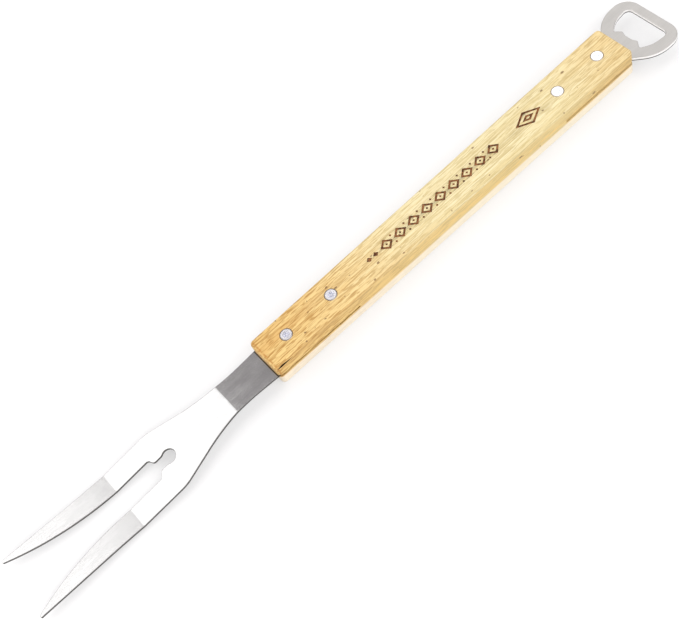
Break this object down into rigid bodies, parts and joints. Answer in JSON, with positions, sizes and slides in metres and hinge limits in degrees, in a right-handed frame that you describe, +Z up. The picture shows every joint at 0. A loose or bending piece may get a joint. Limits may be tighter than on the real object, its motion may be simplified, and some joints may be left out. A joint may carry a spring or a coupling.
{
  "type": "barbecue fork",
  "caption": "Long stainless steel carving fork for a grill, with a straight wooden handle and a flat steel bottle opener loop at its butt end.",
  "frame": {"origin": "middle of the handle's underside, the face that the tool lies on", "axes": "+X along the tool towards the tine tips, +Y across it, +Z up out of the handle's top face"},
  "size_m": [0.4406, 0.0418, 0.017],
  "materials": {
    "wood": "pale open-grained hardwood, sanded and lightly oiled",
    "fork_steel": "stainless steel, satin brushed",
    "opener_steel": "stainless steel, fine matt brushed",
    "rivet_metal": "rivet heads ground flush"
  },
  "bodies": {
    "root": {"handle": "wood", "fork": "fork_steel", "bottle_opener": "opener_steel", "front_outer_rivet_pin": "rivet_metal", "front_outer_rivet_tube": "rivet_metal", "front_inner_rivet_pin": "rivet_metal", "front_inner_rivet_tube": "rivet_metal", "rear_inner_rivet_pin": "rivet_metal", "rear_inner_rivet_tube": "rivet_metal", "rear_outer_rivet_pin": "rivet_metal", "rear_outer_rivet_tube": "rivet_metal"}
  },
  "joints": []
}
